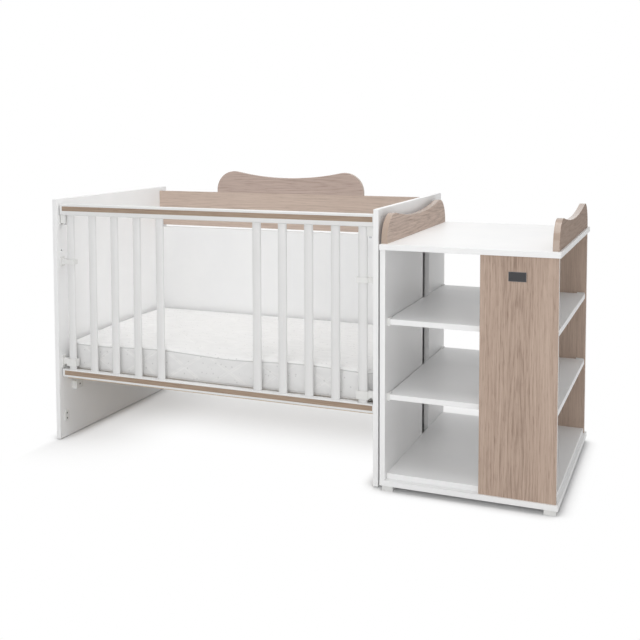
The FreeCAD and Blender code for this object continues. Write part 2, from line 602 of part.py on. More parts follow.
# Guides, catches and plates at the two ends of the drop side
guides = {
    "middle": ("middle_guide_floor", "middle_guide_height", "middle_sleeve_height"),
    "low": ("low_guide_floor", "low_guide_height", "low_sleeve_height"),
}
for side in ("left", "right"):
    panel = f"{side}_end_panel"
    for level, (foot_z, foot_height, sleeve_height) in guides.items():
        label = f"{side}_{level}_guide"
        sleeve_z = f"{foot_z} + ({foot_height} - {sleeve_height}) / 2"
        wall = "(guide_gap + guide_wall)"
        around_y = (f"slat_y - {wall}", f"slat_depth + 2 * {wall}")
        arm_y = ("slat_middle - guide_arm / 2", "guide_arm")
        members = [
            box(label + "_foot", inward(side, "0", "guide_plate"), around_y, (foot_z, foot_height)),
            box(label + "_arm", inward(side, "0", "first_slat_reach"), arm_y, (sleeve_z, sleeve_height)),
            box(label + "_sleeve", inward(side, f"first_slat_reach - {wall}", f"slat_width + 2 * {wall}"),
                around_y, (sleeve_z, sleeve_height)),
        ]
        peg_x = inward(side, "0 - guide_peg_length", "guide_peg_length + guide_plate")
        hole_x = inward(side, "0 - guide_peg_length - fastener_gap", "guide_peg_length + fastener_gap")
        peg_inset = f"({foot_height} - {sleeve_height}) / 4"
        peg_levels = {"low": f"{foot_z} + {peg_inset}", "high": f"{foot_z} + {foot_height} - {peg_inset}"}
        for end, peg_z in peg_levels.items():
            peg = f"{label}_{end}_peg"
            members.append(rod(peg, "x", (peg_x[0], "slat_middle", peg_z), "guide_peg_width", peg_x[1]))
            cut_from(panel, rod(peg + "_hole", "x", (hole_x[0], "slat_middle", peg_z),
                                "guide_peg_width + 2 * fastener_gap", hole_x[1]))
        if level == "middle":
            bend_x = inward(side, "guide_plate + guide_flare", "0")[0]
            under_z = f"{sleeve_z} - guide_flare"
            over_z = f"{sleeve_z} + {sleeve_height}"
            flares = {"under": (under_z, under_z), "over": (over_z, f"{over_z} + guide_flare")}
            for end, (flare_z, bend_z) in flares.items():
                flare = f"{label}_{end}_flare"
                block = box(flare + "_block", inward(side, "guide_plate", "guide_flare"), arm_y,
                            (flare_z, "guide_flare"))
                bend = rod(flare + "_bend", "y", (bend_x, arm_y[0], bend_z), "2 * guide_flare", arm_y[1])
                members.append(less(flare, block, bend))
        keep(label, fused(label, members))
        way_x = inward(side, "first_slat_reach - guide_gap", "slat_width + 2 * guide_gap")
        way_y = ("slat_y - guide_gap", "slat_depth + 2 * guide_gap")
        cut_from(label, box(label + "_way", way_x, way_y, (foot_z, foot_height)))
        if level == "low":
            notch_x = inward(side, f"(guide_plate + first_slat_reach - {wall}) / 2", "0")[0]
            cut_from(label, rod(label + "_notch", "y", (notch_x, around_y[0], sleeve_z), "guide_notch",
                                around_y[1]))

    strike = f"{side}_strike_plate"
    board(strike, inward(side, "0", "strike_depth"), ("slat_middle - strike_width / 2", "strike_width"),
          ("strike_z", "strike_height"))
    lock_x = inward(side, "strike_depth - strike_hole_depth", "strike_hole_depth")
    for level, lock_z in (("upper", "bolt_z"), ("lower", "bolt_z - drop_travel")):
        lock = rod(f"{side}_{level}_lock", "x", (lock_x[0], "slat_middle", lock_z),
                   "bolt_width + 2 * bolt_play", lock_x[1])
        cut_from(panel, lock)
        if level == "upper":
            cut_from(strike, lock)
    for share in ("1 / 6", "5 / 6"):
        screw(side, "slat_middle", f"strike_z + strike_height * {share}", strike, "strike_depth", panel)

    catch = f"{side}_catch_housing"
    catch_y = "slat_middle - catch_depth / 2"
    board(catch, inward(side, "rail_end_gap + catch_gap", "catch_reach"), (catch_y, "catch_depth"),
          ("catch_z", "catch_height"))
    catch_span = inward(side, "0", "rail_end_gap + catch_gap + catch_reach - bolt_back_gap + bolt_play")
    cut_from(catch, rod(catch + "_bore", "x", (catch_span[0], "slat_middle", "bolt_z"),
                        "bolt_width + 2 * bolt_play", catch_span[1]))
    slot_x = inward(side, "tab_start - bolt_throw - bolt_play", "tab_width + bolt_throw + 2 * bolt_play")
    cut_from(catch, box(catch + "_slot", slot_x,
                        ("slat_middle - tab_depth / 2 - bolt_play", "tab_depth + 2 * bolt_play"),
                        ("catch_z", "bolt_z - catch_z")))
    bolt = f"{side}_slide_bolt"
    pin_x = inward(side, "bolt_start", "bolt_length")
    keep(bolt, fused(bolt, [
        rod(bolt + "_pin", "x", (pin_x[0], "slat_middle", "bolt_z"), "bolt_width", pin_x[1]),
        box(bolt + "_tab", inward(side, "tab_start", "tab_width"),
            ("slat_middle - tab_depth / 2", "tab_depth"),
            ("catch_z - tab_reach", "bolt_z - catch_z + tab_reach")),
    ]))

    plate = f"{side}_conversion_plate"
    board(plate, inward(side, "0", "plate_depth"), ("plate_front", "plate_width"),
          ("plate_floor", "plate_height"), "plate_width / 2 - board_edge", Vector(1, 0, 0))
    plate_middle = "plate_front + plate_width / 2"
    screw(side, plate_middle, "plate_floor + plate_screw_inset", plate, "plate_depth", panel)
    screw(side, plate_middle, "plate_floor + plate_height - plate_screw_inset", plate, "plate_depth", panel)

    front_bracket_y = "base_front + bracket_inset"
    rear_bracket_y = "base_front + base_depth - bracket_inset - bracket_width"
    for end, bracket_y in (("front", front_bracket_y), ("rear", rear_bracket_y)):
        bracket = f"{side}_{end}_base_bracket"
        block = box(bracket + "_block", inward(side, "0", "bracket_depth"), (bracket_y, "bracket_width"),
                    ("base_floor - bracket_neck - bracket_height", "bracket_height"))
        neck = box(bracket + "_neck", inward(side, "0", "bracket_depth"),
                   (f"{bracket_y} + bracket_step", "bracket_width - 2 * bracket_step"),
                   ("base_floor - bracket_neck", "bracket_neck"))
        keep(bracket, fused(bracket, [block, neck]), "base_brackets")
        screw(side, f"{bracket_y} + bracket_width / 2", "base_floor - bracket_neck - bracket_height / 2",
              bracket, "bracket_depth", panel)

# Mattress base: two long rails, an end rail at each end, and slats across
base_back = "base_front + base_depth - base_rail_width"
for name, rail_y in (("front", "base_front"), ("rear", base_back)):
    board(f"base_{name}_rail", ("base_x", "base_length"), (rail_y, "base_rail_width"),
          ("base_floor", "base_rail_height"))
for name, rail_x in (("left", "base_x"), ("right", "base_x + base_length - base_rail_width")):
    board(f"base_{name}_rail", (rail_x, "base_rail_width"),
          ("base_front + base_rail_width", "base_depth - 2 * base_rail_width"),
          ("base_floor", "base_rail_height"), group="base_end_rails")
for index in range(int(value("base_slat_count"))):
    step = f"(base_length - 2 * base_slat_inset - base_slat_width) * {index} / (base_slat_count - 1)"
    board(f"base_slat_{index}", (f"base_x + base_slat_inset + {step}", "base_slat_width"),
          ("base_front", "base_depth"), ("base_slat_z", "base_slat_height"), group="base_slats")


def mattress_section(x, inset):
    # One upright section of the mattress: flat below, swelling sides and a crowned top
    front = value("base_front") + inset
    back = value("base_front") + value("base_depth") - inset
    low = value("mattress_z") + inset
    high = low + value("mattress_height") - 2 * inset
    rear_high = high + value("mattress_rise")
    corner = value("mattress_round")
    bulge = value("mattress_bulge")
    crown = (high + rear_high) / 2 + value("mattress_crown") * (1 - inset / corner)
    slant = corner * (1 - math.sqrt(0.5))
    front_side = front + bulge
    back_side = back - bulge

    def point(y, z):
        return Vector(x, y, z)

    def arc(*stops):
        return Part.Arc(*(point(*stop) for stop in stops)).toShape()

    edges = [
        Part.makeLine(point(front_side + corner, low), point(back_side - corner, low)),
        arc((back_side - corner, low), (back_side - slant, low + slant), (back_side, low + corner)),
        arc((back_side, low + corner), (back, (low + rear_high) / 2), (back_side, rear_high - corner)),
        arc((back_side, rear_high - corner), (back_side - slant, rear_high - slant),
            (back_side - corner, rear_high)),
        arc((back_side - corner, rear_high), ((front + back) / 2, crown), (front_side + corner, high)),
        arc((front_side + corner, high), (front_side + slant, high - slant), (front_side, high - corner)),
        arc((front_side, high - corner), (front, (low + high) / 2), (front_side, low + corner)),
        arc((front_side, low + corner), (front_side + slant, low + slant), (front_side + corner, low)),
    ]
    return Part.Wire(edges)


# Mattress: its sections draw in towards both ends, which rounds the end faces' edges
corner = value("mattress_round")
first_turn = math.radians(30)
stations = []
for degrees in (30, 55, 90):
    turn = math.radians(degrees)
    stations.append((corner * (math.cos(first_turn) - math.cos(turn)), corner * (1 - math.sin(turn))))
sections = [mattress_section(along, inset) for along, inset in stations]
for along, inset in reversed(stations):
    sections.append(mattress_section(value("mattress_length") - along, inset))
mattress = doc.addObject("Part::Feature", "mattress")
mattress.Shape = Part.makeLoft(sections, True, True)
mattress.Placement = FreeCAD.Placement(
    Vector(value("mattress_x") - value("origin_x"), 0 - value("origin_y"), 0), FreeCAD.Rotation())
keep("mattress", mattress)

# Changing unit: base on four feet, upright boards, shelves and top
board("unit_base", ("unit_x", "unit_width"), ("unit_y", "unit_depth"), ("foot_height", "board"))
foot_columns = (("left", "unit_x + foot_inset"), ("right", "unit_x + unit_width - foot_inset - foot_width"))
foot_rows = (("front", "unit_y + foot_inset"), ("rear", "unit_y + unit_depth - foot_inset - foot_width"))
for x_name, foot_x in foot_columns:
    for y_name, foot_y in foot_rows:
        board(f"unit_{y_name}_{x_name}_foot", (foot_x, "foot_width"), (foot_y, "foot_width"),
              ("0", "foot_height"), group="unit_feet")
upright = ("base_top", "unit_inner_height")
board("unit_left_front_board", ("unit_x", "board"), ("left_y", "left_front_width"), upright)
board("unit_left_rear_board", ("unit_x", "board"), ("left_rear_y", "left_rear_width"), upright)
board("unit_brown_front_board", ("brown_x", "brown_width"), ("brown_front_y", "board"), upright)
board("unit_brown_rear_board", ("brown_x", "brown_width"), ("brown_rear_y", "board"), upright)
board("unit_top", ("unit_x", "unit_width"), ("unit_y - top_overhang", "top_depth"), ("top_z", "board"))
board("bottom_shelf", ("unit_inner", "shelf_right - unit_inner"), ("bay_y", "bay_depth"),
      ("base_top", "board"))

for level in ("middle", "upper"):
    shelf_x = ("shelf_x", "shelf_right - shelf_x")
    shelf_y = ("shelf_y", "shelf_depth")
    shelf_z = (f"{level}_shelf_top - board", "board")
    board(f"{level}_shelf", shelf_x, shelf_y, shelf_z)
    clip_z = (f"{level}_shelf_top - board - clip_lip", "board + 2 * clip_lip")
    near = "clip_width - clip_plate"
    left_x = ("unit_inner", "clip_reach")
    right_x = (f"shelf_right - {near}", "clip_width")
    spots = [
        (left_x, ("shelf_y - clip_plate", "clip_width")),
        (left_x, (f"shelf_y + shelf_depth - {near}", "clip_width")),
        (right_x, ("bay_y", "clip_reach")),
        (right_x, ("bay_y + bay_depth - clip_reach", "clip_reach")),
    ]
    for index, (clip_x, clip_y) in enumerate(spots):
        name = f"{level}_shelf_clip_{index}"
        block = box(name + "_block", clip_x, clip_y, clip_z)
        slot = box(name + "_slot", shelf_x, shelf_y, shelf_z)
        join_group(f"{level}_shelf_clips", less(name, block, slot))

guard_places = {
    "left": "unit_x + guard_left + guard_thickness / 2",
    "right": "unit_x + unit_width - guard_right - guard_thickness / 2",
}
for side, guard_x in guard_places.items():
    guard = wave_board(f"{side}_guard", "guard_length", "guard_height", "guard_dip", "guard_shoulder",
                       "guard_thickness")
    guard.Placement = FreeCAD.Placement(Vector(), FreeCAD.Rotation(Vector(0, 0, 1), 90))
    place(guard, guard_x, "guard_y", "unit_height")
    for share in ("1 / 6", "1 / 2", "5 / 6"):
        dowel("unit_dowels", (guard_x, f"guard_y + guard_length * {share}", "unit_height - dowel_seat"),
              "unit_top", f"{side}_guard")

left_middle = "unit_x + board / 2"
front_middle = "brown_front_y + board / 2"
rear_middle = "brown_rear_y + board / 2"
board_dowels = {
    "unit_left_front_board": [(left_middle, "left_y + dowel_inset"),
                              (left_middle, "left_y + left_front_width - dowel_inset")],
    "unit_left_rear_board": [(left_middle, "left_rear_y + dowel_inset"),
                             (left_middle, "left_rear_y + left_rear_width - dowel_inset")],
    "unit_brown_front_board": [("brown_x + dowel_inset", front_middle),
                               ("brown_x + brown_width - dowel_inset", front_middle)],
    "unit_brown_rear_board": [("brown_x + dowel_inset", rear_middle),
                              ("brown_x + brown_width - dowel_inset", rear_middle)],
}
for label, spots in board_dowels.items():
    for x, y in spots:
        dowel("unit_dowels", (x, y, "base_top - dowel_seat"), "unit_base", label)
        dowel("unit_dowels", (x, y, "top_z - dowel_length + dowel_seat"), label, "unit_top")

board("badge_plate", ("brown_x + badge_inset", "badge_width"), ("brown_front_y - badge_depth", "badge_depth"),
      ("badge_floor", "badge_height"), "badge_round")

# Pins and spacers that hold the unit to the cot's right end panel
pin_boards = {
    "unit_left_front_board": "left_y + left_front_width / 2",
    "unit_left_rear_board": "left_rear_y + left_rear_width / 2",
}
for label, pin_y in pin_boards.items():
    for pin_z in ("join_pin_low", "join_pin_high"):
        name = f"join_pin_{len(groups.get('join_pins', []))}"
        start = ("crib_length - join_pin_seat", pin_y, pin_z)
        length = "unit_gap + 2 * join_pin_seat"
        join_group("join_pins", rod(name, "x", start, "join_pin_width", length))
        hole = rod(name + "_hole", "x", ("crib_length - join_pin_seat - fastener_gap", pin_y, pin_z),
                   "join_pin_width + 2 * fastener_gap", f"{length} + 2 * fastener_gap")
        cut_from("right_end_panel", hole)
        cut_from(label, hole)
        ring = rod(name + "_ring", "x", ("crib_length", pin_y, pin_z), "join_spacer_width", "unit_gap")
        join_group("join_spacers", less(name + "_spacer", ring, hole))

# Finished sub-parts: each blank less its cutters, and the groups of like fasteners
finished = {}
for label, blank in blanks.items():
    if cutters[label]:
        waste = doc.addObject("Part::Compound", label + "_waste")
        waste.Links = cutters[label]
        piece = less(label + "_piece", blank, waste)
    else:
        piece = blank
    piece.Label = label
    if label in group_of:
        join_group(group_of[label], piece)
    else:
        finished[label] = piece
for label, members in groups.items():
    bundle = doc.addObject("Part::Compound", label)
    bundle.Links = members
    bundle.Label = label
    finished[label] = bundle

doc.recompute()
for thing in doc.Objects:
    if "Invalid" in thing.State or "Error" in thing.State:
        raise RuntimeError(f"{thing.Label} could not be built")
os.makedirs("parts", exist_ok=True)
for label, piece in finished.items():
    if piece.Shape.isNull() or not piece.Shape.isValid():
        raise RuntimeError(f"{label} has no valid shape")
for label, piece in finished.items():
    piece.Shape.exportStep(f"parts/{label}.step")
print(len(finished), "sub-parts written")
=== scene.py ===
import bmesh
import bpy
import math
from mathutils import Matrix, Vector


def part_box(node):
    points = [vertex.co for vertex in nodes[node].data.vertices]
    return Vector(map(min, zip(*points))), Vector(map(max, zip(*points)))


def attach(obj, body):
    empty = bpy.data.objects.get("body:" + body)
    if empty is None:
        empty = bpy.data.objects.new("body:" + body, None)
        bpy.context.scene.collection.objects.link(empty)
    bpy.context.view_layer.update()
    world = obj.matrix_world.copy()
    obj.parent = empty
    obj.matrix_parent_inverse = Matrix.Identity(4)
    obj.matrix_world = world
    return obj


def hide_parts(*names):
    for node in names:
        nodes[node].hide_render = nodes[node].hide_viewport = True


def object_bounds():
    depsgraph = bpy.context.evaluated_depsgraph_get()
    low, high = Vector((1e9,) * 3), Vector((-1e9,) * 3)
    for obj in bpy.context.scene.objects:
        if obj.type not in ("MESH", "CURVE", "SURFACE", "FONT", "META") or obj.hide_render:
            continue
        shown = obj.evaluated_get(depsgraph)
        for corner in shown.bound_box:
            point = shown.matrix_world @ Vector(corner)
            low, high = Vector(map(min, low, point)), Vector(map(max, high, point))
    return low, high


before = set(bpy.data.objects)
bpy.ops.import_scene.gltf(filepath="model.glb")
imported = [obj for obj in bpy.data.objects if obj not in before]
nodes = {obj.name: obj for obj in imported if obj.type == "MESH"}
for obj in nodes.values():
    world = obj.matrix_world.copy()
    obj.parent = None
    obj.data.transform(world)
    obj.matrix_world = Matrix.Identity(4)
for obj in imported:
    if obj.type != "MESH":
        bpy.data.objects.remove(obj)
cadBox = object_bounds()
scene = bpy.context.scene
print("frame loaded:", len(nodes), "nodes")


class Value:
    # A shader socket: arithmetic on it adds Math nodes
    def __init__(self, finish, socket):
        self.finish = finish
        self.socket = socket

    def __add__(self, other):
        return self.finish.math("ADD", self, other)

    def __radd__(self, other):
        return self.finish.math("ADD", other, self)

    def __sub__(self, other):
        return self.finish.math("SUBTRACT", self, other)

    def __rsub__(self, other):
        return self.finish.math("SUBTRACT", other, self)

    def __mul__(self, other):
        return self.finish.math("MULTIPLY", self, other)

    def __rmul__(self, other):
        return self.finish.math("MULTIPLY", other, self)

    def __pow__(self, other):
        return self.finish.math("POWER", self, other)

    def __abs__(self):
        return self.finish.math("ABSOLUTE", self)


class Finish:
    # A node tree of a material or of the world
    def __init__(self, owner):
        self.owner = owner
        owner.use_nodes = True
        self.tree = owner.node_tree
        self.tree.nodes.clear()

    def node(self, kind, settings=None, sockets=None, out=0):
        made = self.tree.nodes.new("ShaderNode" + kind)
        for name, setting in (settings or {}).items():
            if name == "stops":
                self.setStops(made.color_ramp.elements, setting)
            else:
                setattr(made, name, setting)
        for name, given in (sockets or {}).items():
            if isinstance(given, Value):
                self.tree.links.new(given.socket, made.inputs[name])
            else:
                made.inputs[name].default_value = given
        if isinstance(out, tuple):
            return [Value(self, made.outputs[each]) for each in out]
        return Value(self, made.outputs[out]) if len(made.outputs) else made

    def setStops(self, elements, stops):
        while len(elements) < len(stops):
            elements.new(1.0)
        for element, (position, colour) in zip(elements, stops):
            element.position = position
            element.color = colour

    def math(self, operation, *given):
        return self.node("Math", {"operation": operation}, dict(enumerate(given)))

    def place(self, turn=(0, 0, 0), shift=(0, 0, 0)):
        # object coordinates, turned and then moved
        spot = self.node("TexCoord", out="Object")
        return self.node("Mapping", None, {"Vector": spot, "Location": shift, "Rotation": turn})

    def parts(self, vector):
        return self.node("SeparateXYZ", None, {0: vector}, (0, 1, 2))

    def noise(self, spot, scale, detail=2.0, rough=0.5):
        sockets = {"Vector": spot, "Scale": scale, "Detail": detail, "Roughness": rough}
        return self.node("TexNoise", None, sockets)

    def fibres(self, spot, perMetre, detail=2.0, rough=0.5):
        # noise with its own number of waves per metre along each axis
        stretched = self.node("VectorMath", {"operation": "MULTIPLY"}, {0: spot, 1: perMetre})
        return self.noise(stretched, 1.0, detail, rough)

    def smooth(self, given, low, high):
        return self.node("MapRange", {"interpolation_type": "SMOOTHSTEP"}, {0: given, 1: low, 2: high})

    def within(self, distance, core, reach):
        # 1 up to the core, falling to 0 at the reach
        return 1 - self.smooth(distance, core, reach)

    def mix(self, share, first, second, mode="MIX"):
        return self.node("Mix", {"data_type": "RGBA", "blend_type": mode}, {0: share, 6: first, 7: second}, 2)

    def bump(self, height, p):
        sockets = {"Height": height, "Distance": p["relief"], "Strength": p["reliefStrength"]}
        return self.node("Bump", None, sockets)

    def surface(self, sockets):
        shader = self.node("BsdfPrincipled", None, sockets)
        self.node("OutputMaterial", None, {"Surface": shader})
        return self.owner


def newFinish(name):
    return Finish(bpy.data.materials.new(name))


def tone(red, green, blue):
    return (red, green, blue, 1.0)


def grey(level):
    return tone(level, level, level)


def scaled(colour, share):
    return tone(*[part * share for part in colour[:3]])


# Laminate with a pale ash print: wandering fibres, rings of a leaning trunk near its heart, short dark pores;
# the edge tape is glossier than the face. Triples are waves per metre, along the grain last
ashPrint = dict(
    pale=tone(0.590, 0.470, 0.392), middle=tone(0.480, 0.372, 0.306), deep=tone(0.300, 0.220, 0.176),
    deepAt=0.08, middleAt=0.50, paleAt=0.94, ground=0.55, lift=0.05,
    wander=0.009, bend=(7, 7, 2.4), wiggle=0.0026, shiver=(60, 60, 24),
    bands=(20, 20, 0.6), bandMark=0.40, streaks=(340, 340, 9), streakMark=1.25,
    pores=(560, 560, 28), poreFrom=0.54, poreFull=0.68, poreMark=0.20,
    ringPitch=0.0095, ringLean=0.075, ringCore=0.024, ringReach=0.12, ringMark=0.16,
    uneven=(34, 34, 6), unevenTurn=7.0, heartCore=0.0055, heartReach=0.055, heartMark=0.06,
    edge=tone(0.440, 0.340, 0.276), edgeDark=0.88, edgeLight=1.10, faceFrom=0.35, faceFull=0.8,
    rough=0.66, edgeRough=0.40, streakRough=0.16, poreRough=0.10, gloss=0.08, edgeCoat=0.7, coatRough=0.13,
    relief=0.00012, reliefStrength=0.8, streakRelief=0.4, ringRelief=0.5,
)
grainTurns = {"X": (0, -math.pi / 2, 0), "Y": (math.pi / 2, 0, math.pi / 2), "Z": (0, 0, 0)}


def boardHeart(name, shares):
    low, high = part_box(name)
    return Vector([start + (end - start) * share for start, end, share in zip(low, high, shares)])


def ashFinish(board):
    p = ashPrint
    f = newFinish(board["finish"])
    turn = grainTurns[board["grain"]]
    turned = (Matrix.Rotation(turn[2], 3, "Z") @ Matrix.Rotation(turn[1], 3, "Y")
              @ Matrix.Rotation(turn[0], 3, "X"))
    spot = f.place(turn, -(turned @ boardHeart(board["piece"], board["heart"])))
    straight, depth, along = f.parts(spot)
    bend = f.fibres(spot, p["bend"])
    shiver = f.fibres(spot, p["shiver"], detail=1.0)
    across = straight + (bend - 0.5) * p["wander"] + (shiver - 0.5) * p["wiggle"]
    fibre = f.node("CombineXYZ", None, {0: across, 1: depth, 2: along})
    bands = f.fibres(fibre, p["bands"])
    streaks = f.fibres(fibre, p["streaks"], detail=4.0, rough=0.62)
    pore = f.smooth(f.fibres(fibre, p["pores"]), p["poreFrom"], p["poreFull"])
    sunk = depth + along * p["ringLean"]
    radius = (across * across + sunk * sunk) ** 0.5
    uneven = f.fibres(fibre, p["uneven"], detail=3.0)
    ring = f.math("SINE", radius * (2 * math.pi / p["ringPitch"]) + uneven * p["unevenTurn"]) * 0.5 + 0.5
    line = ring * ring * f.within(radius, p["ringCore"], p["ringReach"])
    heart = f.within(abs(across), p["heartCore"], p["heartReach"])
    marks = (bands - 0.5) * p["bandMark"] + (streaks - 0.5) * p["streakMark"]
    marks = marks - line * p["ringMark"] - heart * p["heartMark"] - pore * p["poreMark"]
    shade = p["ground"] + (marks + p["lift"]) * board["contrast"]
    stops = [(p["deepAt"], p["deep"]), (p["middleAt"], p["middle"]), (p["paleAt"], p["pale"])]
    printed = f.node("ValToRGB", {"stops": stops}, {0: shade})
    # the tint multiplies the print: the board's own tone, and painted light and shade on the boards named
    # below
    face = f.mix(1.0, printed, board["toneAndLightTint"], "MULTIPLY")
    normal = f.parts(f.node("TexCoord", out="Normal"))["XYZ".index(board["faceAxis"])]
    edge = f.within(abs(normal), p["faceFrom"], p["faceFull"])
    tape = f.mix(streaks, scaled(p["edge"], p["edgeDark"]), scaled(p["edge"], p["edgeLight"]))
    rough = p["rough"] + (streaks - 0.5) * p["streakRough"] + pore * p["poreRough"]
    rough = rough - edge * (p["rough"] - p["edgeRough"])
    relief = f.bump(streaks * p["streakRelief"] - pore - line * p["ringRelief"], p)
    return f.surface({"Base Color": f.mix(edge, face, tape), "Roughness": rough, "Normal": relief,
                      "Specular IOR Level": p["gloss"], "Coat Weight": edge * p["edgeCoat"],
                      "Coat Roughness": p["coatRough"]})


# White melamine board: satin, with a fine pearl texture and a hardly visible cloudiness
melamine = dict(
    white=tone(0.905, 0.905, 0.903), cloud=tone(0.884, 0.886, 0.888), clouds=7.0, cloudFull=0.3,
    cloudNone=0.7, pearl=1400.0, pearlRough=0.08, wipes=(6, 6, 30), wipeRough=0.14, rough=0.38, gloss=0.45,
    relief=0.00003, reliefStrength=0.7,
)


def whiteBoardFinish():
    p = melamine
    f = newFinish("white_board")
    spot = f.place()
    clouds = f.noise(spot, p["clouds"], detail=4.0, rough=0.6)
    pearl = f.noise(spot, p["pearl"], detail=1.0)
    wipes = f.fibres(spot, p["wipes"], detail=3.0)
    colour = f.mix(f.smooth(clouds, p["cloudFull"], p["cloudNone"]), p["cloud"], p["white"])
    rough = p["rough"] + (wipes - 0.5) * p["wipeRough"] + (pearl - 0.5) * p["pearlRough"]
    return f.surface({"Base Color": colour, "Roughness": rough, "Normal": f.bump(pearl, p),
                      "Specular IOR Level": p["gloss"]})


# Painted rails and bars: lacquer over wood, with faint brush and fibre lines along the length
paint = dict(
    white=tone(0.780, 0.779, 0.775), thin=tone(0.750, 0.748, 0.742), thinFull=0.32, thinNone=0.62,
    fibreShare=0.6, fibreRough=0.18, peel=420.0, peelRough=0.06, clouds=11.0, rough=0.36, gloss=0.5,
    relief=0.00009, reliefStrength=0.8,
)
railLines = (5, 320, 320)
barLines = (320, 320, 5)


def whitePaintFinish(name, lines):
    p = paint
    f = newFinish(name)
    spot = f.place()
    fibres = f.fibres(spot, lines, detail=3.0, rough=0.6)
    peel = f.noise(spot, p["peel"])
    clouds = f.noise(spot, p["clouds"], detail=3.0)
    drawn = fibres * p["fibreShare"]
    thick = f.smooth(drawn + clouds * (1 - p["fibreShare"]), p["thinFull"], p["thinNone"])
    rough = p["rough"] + (fibres - 0.5) * p["fibreRough"] + (peel - 0.5) * p["peelRough"]
    relief = f.bump(drawn + peel * (1 - p["fibreShare"]), p)
    return f.surface({"Base Color": f.mix(thick, p["thin"], p["white"]), "Roughness": rough, "Normal": relief,
                      "Specular IOR Level": p["gloss"]})


# Moulded white plastic of guides, clips, brackets and feet
plastic = dict(
    white=tone(0.80, 0.80, 0.785), deep=tone(0.755, 0.755, 0.74), flow=40.0, deepFull=0.35, deepNone=0.65,
    flowRough=0.12, spark=900.0, sparkRough=0.10, rough=0.42, relief=0.00006, reliefStrength=0.8,
)


def plasticFinish():
    p = plastic
    f = newFinish("white_plastic")
    spot = f.place()
    spark = f.noise(spot, p["spark"])
    flow = f.noise(spot, p["flow"], detail=3.0, rough=0.6)
    colour = f.mix(f.smooth(flow, p["deepFull"], p["deepNone"]), p["deep"], p["white"])
    rough = p["rough"] + (flow - 0.5) * p["flowRough"] + (spark - 0.5) * p["sparkRough"]
    return f.surface({"Base Color": colour, "Roughness": rough, "Normal": f.bump(spark, p)})


# Zinc-plated bolts and nuts, and screws that are browned darker
plating = dict(
    blotch=260.0, dullFull=0.3, dullNone=0.7, blotchRough=0.22, turned=(2600, 120, 120), turnedRough=0.12,
    relief=0.00002, reliefStrength=0.6,
)
zinc = dict(finish="zinc_steel", bright=tone(0.66, 0.67, 0.68), dull=tone(0.47, 0.48, 0.50), rough=0.30)
browned = dict(finish="dark_steel", bright=tone(0.17, 0.165, 0.16), dull=tone(0.09, 0.088, 0.086), rough=0.38)


def steelFinish(coat):
    p = plating
    f = newFinish(coat["finish"])
    spot = f.place()
    blotch = f.noise(spot, p["blotch"], detail=4.0, rough=0.6)
    turned = f.fibres(spot, p["turned"])
    colour = f.mix(f.smooth(blotch, p["dullFull"], p["dullNone"]), coat["dull"], coat["bright"])
    rough = coat["rough"] + (blotch - 0.5) * p["blotchRough"] + (turned - 0.5) * p["turnedRough"]
    return f.surface({"Base Color": colour, "Metallic": 1.0, "Roughness": rough, "Normal": f.bump(turned, p)})


# Bare wood of the mattress base and the dowels
bareWood = dict(
    pale=tone(0.72, 0.57, 0.39), deep=tone(0.52, 0.37, 0.22), ringFrom=0.28, ringFull=0.72, ringShare=0.85,
    ringRough=0.2, fleckFineness=8, fleckFrom=0.58, fleckFull=0.74, fleckMark=0.18, fleckRelief=0.5,
    rough=0.58, relief=0.0002, reliefStrength=0.7,
)
longWood = (2.5, 160, 160)
crossWood = (160, 2.5, 160)
dowelWood = (260, 260, 12)


def bareWoodFinish(name, lines):
    p = bareWood
    f = newFinish(name)
    spot = f.place()
    rings = f.fibres(spot, lines, detail=4.0, rough=0.62)
    flecks = f.fibres(spot, [p["fleckFineness"] * line for line in lines], detail=1.0)
    fleck = f.smooth(flecks, p["fleckFrom"], p["fleckFull"])
    shade = f.smooth(rings, p["ringFrom"], p["ringFull"]) * p["ringShare"] - fleck * p["fleckMark"]
    rough = p["rough"] + (rings - 0.5) * p["ringRough"]
    relief = f.bump(rings - fleck * p["fleckRelief"], p)
    return f.surface({"Base Color": f.mix(shade, p["deep"], p["pale"]), "Roughness": rough, "Normal": relief})


# Black badge plate: brushed, with a lighter line along its rim
badge = dict(
    black=tone(0.018, 0.018, 0.020), worn=tone(0.036, 0.036, 0.038), rim=tone(0.16, 0.16, 0.165),
    rimCore=0.00072, rimWidth=0.0012, brush=(90, 90, 5200), brushRough=0.25, rough=0.34, metal=0.35,
    relief=0.00002, reliefStrength=0.6,
)


def badgeFinish():
    p = badge
    f = newFinish("badge_black")
    low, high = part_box("badge_plate")
    half = (high - low) / 2
    x, z = f.parts(f.place(shift=-(low + high) / 2))[::2]
    inset = f.math("MINIMUM", half.x - abs(x), half.z - abs(z))
    rim = f.within(inset, p["rimCore"], p["rimWidth"])
    brushed = f.fibres(f.place(), p["brush"], detail=3.0, rough=0.6)
    colour = f.mix(rim, f.mix(brushed, p["black"], p["worn"]), p["rim"])
    rough = p["rough"] + (brushed - 0.5) * p["brushRough"]
    return f.surface({"Base Color": colour, "Metallic": p["metal"], "Roughness": rough,
                      "Normal": f.bump(brushed, p)})


def wear(finish, *names):
    for name in names:
        node = nodes[name]
        if node.material_slots:
            for slot in node.material_slots:
                slot.material = finish
        else:
            node.data.materials.append(finish)


